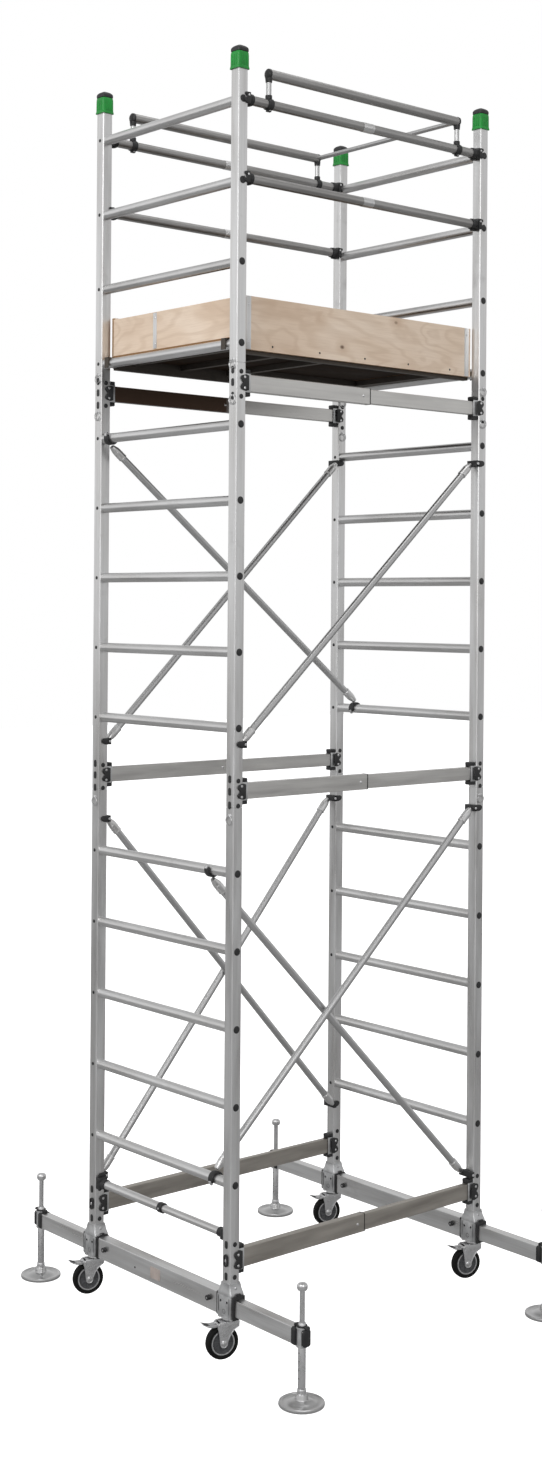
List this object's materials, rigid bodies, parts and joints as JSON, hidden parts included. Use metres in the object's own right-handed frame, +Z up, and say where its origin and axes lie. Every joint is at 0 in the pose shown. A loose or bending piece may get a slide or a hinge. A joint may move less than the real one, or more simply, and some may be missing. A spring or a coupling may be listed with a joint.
{
  "type": "mobile tower scaffold",
  "caption": "Rolling aluminium tower scaffold with ladder frames, braces, hatch platform, guardrails, telescopic outriggers with jack legs and braked casters.",
  "frame": {"origin": "middle of the plan, on the floor under the four jack feet; the wheels hang 45 mm above it", "axes": "+X along the long side from the end with the low strut to the end with the raised end bar, +Y across the ladder sides, +Z up"},
  "size_m": [1.4971, 1.805, 4.88],
  "materials": {
    "frame_aluminium": "satin extruded",
    "cast_aluminium": "fine cast, matt",
    "zinc_steel": "zinc plated",
    "black_plastic": "moulded, matt",
    "green_plastic": "moulded, semi gloss",
    "grey_plastic": "moulded",
    "black_rubber": "smooth rubber",
    "birch_plywood": "lacquered birch plywood",
    "film_faced_plywood": "phenolic film faced"
  },
  "bodies": {
    "tower": {"base_beams": "frame_aluminium", "beam_collars": "black_plastic", "foot_brackets": "cast_aluminium", "caster_mounts": "zinc_steel", "lower_frame_posts": "frame_aluminium", "lower_frame_rungs": "frame_aluminium", "low_strut": "frame_aluminium", "side_beam_sleeves": "frame_aluminium", "side_beam_inners": "frame_aluminium", "side_beam_brackets": "black_plastic", "joint_spigots": "zinc_steel", "joint_clips": "zinc_steel", "upper_frame_posts": "frame_aluminium", "upper_frame_rungs": "frame_aluminium", "guard_frame_posts": "frame_aluminium", "guard_frame_rungs": "frame_aluminium", "tube_plugs": "black_plastic", "brace_tubes": "frame_aluminium", "brace_hooks": "black_plastic", "platform_frame": "frame_aluminium", "deck_board": "film_faced_plywood", "toe_boards": "birch_plywood", "toe_board_strips": "frame_aluminium", "guard_rails": "frame_aluminium", "rail_clamps": "black_plastic", "raised_bars": "frame_aluminium", "post_caps": "green_plastic"},
    "hatch": {"hatch_panel": "film_faced_plywood"},
    "caster_rear_left": {"caster_fork_1": "zinc_steel"},
    "wheel_rear_left": {"wheel_tyre_1": "black_rubber", "wheel_hub_1": "grey_plastic"},
    "brake_rear_left": {"brake_pedal_1": "zinc_steel"},
    "outrigger_rear_left": {"outrigger_tube_1": "frame_aluminium", "clamp_head_1": "cast_aluminium"},
    "jack_rear_left": {"jack_leg_1": "zinc_steel"},
    "lock_rear_left": {"lock_button_1": "black_plastic"},
    "caster_front_left": {"caster_fork_2": "zinc_steel"},
    "wheel_front_left": {"wheel_tyre_2": "black_rubber", "wheel_hub_2": "grey_plastic"},
    "brake_front_left": {"brake_pedal_2": "zinc_steel"},
    "outrigger_front_left": {"outrigger_tube_2": "frame_aluminium", "clamp_head_2": "cast_aluminium"},
    "jack_front_left": {"jack_leg_2": "zinc_steel"},
    "lock_front_left": {"lock_button_2": "black_plastic"},
    "caster_rear_right": {"caster_fork_3": "zinc_steel"},
    "wheel_rear_right": {"wheel_tyre_3": "black_rubber", "wheel_hub_3": "grey_plastic"},
    "brake_rear_right": {"brake_pedal_3": "zinc_steel"},
    "outrigger_rear_right": {"outrigger_tube_3": "frame_aluminium", "clamp_head_3": "cast_aluminium"},
    "jack_rear_right": {"jack_leg_3": "zinc_steel"},
    "lock_rear_right": {"lock_button_3": "black_plastic"},
    "caster_front_right": {"caster_fork_4": "zinc_steel"},
    "wheel_front_right": {"wheel_tyre_4": "black_rubber", "wheel_hub_4": "grey_plastic"},
    "brake_front_right": {"brake_pedal_4": "zinc_steel"},
    "outrigger_front_right": {"outrigger_tube_4": "frame_aluminium", "clamp_head_4": "cast_aluminium"},
    "jack_front_right": {"jack_leg_4": "zinc_steel"},
    "lock_front_right": {"lock_button_4": "black_plastic"}
  },
  "joints": [
    {"name": "hatch_hinge", "type": "hinge", "parent": "tower", "child": "hatch", "pos_m": [0, 0.251, 3.8175], "axis": [-1, 0, 0], "range_deg": [0, 92]},
    {"name": "swivel_rear_left", "type": "hinge", "parent": "tower", "child": "caster_rear_left", "pos_m": [-0.65, 0.425, 0.184], "axis": [0, 0, 1], "continuous": true},
    {"name": "spin_rear_left", "type": "hinge", "parent": "caster_rear_left", "child": "wheel_rear_left", "pos_m": [-0.68251, 0.43494, 0.1075], "axis": [-0.2924, -0.9563, 0], "continuous": true},
    {"name": "brake_rear_left", "type": "hinge", "parent": "caster_rear_left", "child": "brake_rear_left", "pos_m": [-0.69973, 0.4402, 0.175], "axis": [-0.2924, -0.9563, 0], "range_deg": [0, 12]},
    {"name": "extend_rear_left", "type": "slide", "parent": "tower", "child": "outrigger_rear_left", "axis": [0, 1, 0], "range_m": [-0.2, 0.1]},
    {"name": "jack_rear_left", "type": "slide", "parent": "outrigger_rear_left", "child": "jack_rear_left", "axis": [0, 0, 1], "range_m": [-0.06, 0.12]},
    {"name": "lock_pull_rear_left", "type": "slide", "parent": "tower", "child": "lock_rear_left", "axis": [-1, 0, 0], "range_m": [0, 0.008]},
    {"name": "swivel_front_left", "type": "hinge", "parent": "tower", "child": "caster_front_left", "pos_m": [-0.65, -0.425, 0.184], "axis": [0, 0, 1], "continuous": true},
    {"name": "spin_front_left", "type": "hinge", "parent": "caster_front_left", "child": "wheel_front_left", "pos_m": [-0.68251, -0.41506, 0.1075], "axis": [-0.2924, -0.9563, 0], "continuous": true},
    {"name": "brake_front_left", "type": "hinge", "parent": "caster_front_left", "child": "brake_front_left", "pos_m": [-0.69973, -0.4098, 0.175], "axis": [-0.2924, -0.9563, 0], "range_deg": [0, 12]},
    {"name": "extend_front_left", "type": "slide", "parent": "tower", "child": "outrigger_front_left", "axis": [0, -1, 0], "range_m": [-0.2, 0.1]},
    {"name": "jack_front_left", "type": "slide", "parent": "outrigger_front_left", "child": "jack_front_left", "axis": [0, 0, 1], "range_m": [-0.06, 0.12]},
    {"name": "lock_pull_front_left", "type": "slide", "parent": "tower", "child": "lock_front_left", "axis": [-1, 0, 0], "range_m": [0, 0.008]},
    {"name": "swivel_rear_right", "type": "hinge", "parent": "tower", "child": "caster_rear_right", "pos_m": [0.65, 0.425, 0.184], "axis": [0, 0, 1], "continuous": true},
    {"name": "spin_rear_right", "type": "hinge", "parent": "caster_rear_right", "child": "wheel_rear_right", "pos_m": [0.61749, 0.43494, 0.1075], "axis": [-0.2924, -0.9563, 0], "continuous": true},
    {"name": "brake_rear_right", "type": "hinge", "parent": "caster_rear_right", "child": "brake_rear_right", "pos_m": [0.60027, 0.4402, 0.175], "axis": [-0.2924, -0.9563, 0], "range_deg": [0, 12]},
    {"name": "extend_rear_right", "type": "slide", "parent": "tower", "child": "outrigger_rear_right", "axis": [0, 1, 0], "range_m": [-0.2, 0.1]},
    {"name": "jack_rear_right", "type": "slide", "parent": "outrigger_rear_right", "child": "jack_rear_right", "axis": [0, 0, 1], "range_m": [-0.06, 0.12]},
    {"name": "lock_pull_rear_right", "type": "slide", "parent": "tower", "child": "lock_rear_right", "axis": [-1, 0, 0], "range_m": [0, 0.008]},
    {"name": "swivel_front_right", "type": "hinge", "parent": "tower", "child": "caster_front_right", "pos_m": [0.65, -0.425, 0.184], "axis": [0, 0, 1], "continuous": true},
    {"name": "spin_front_right", "type": "hinge", "parent": "caster_front_right", "child": "wheel_front_right", "pos_m": [0.61749, -0.41506, 0.1075], "axis": [-0.2924, -0.9563, 0], "continuous": true},
    {"name": "brake_front_right", "type": "hinge", "parent": "caster_front_right", "child": "brake_front_right", "pos_m": [0.60027, -0.4098, 0.175], "axis": [-0.2924, -0.9563, 0], "range_deg": [0, 12]},
    {"name": "extend_front_right", "type": "slide", "parent": "tower", "child": "outrigger_front_right", "axis": [0, -1, 0], "range_m": [-0.2, 0.1]},
    {"name": "jack_front_right", "type": "slide", "parent": "outrigger_front_right", "child": "jack_front_right", "axis": [0, 0, 1], "range_m": [-0.06, 0.12]},
    {"name": "lock_pull_front_right", "type": "slide", "parent": "tower", "child": "lock_front_right", "axis": [-1, 0, 0], "range_m": [0, 0.008]}
  ]
}
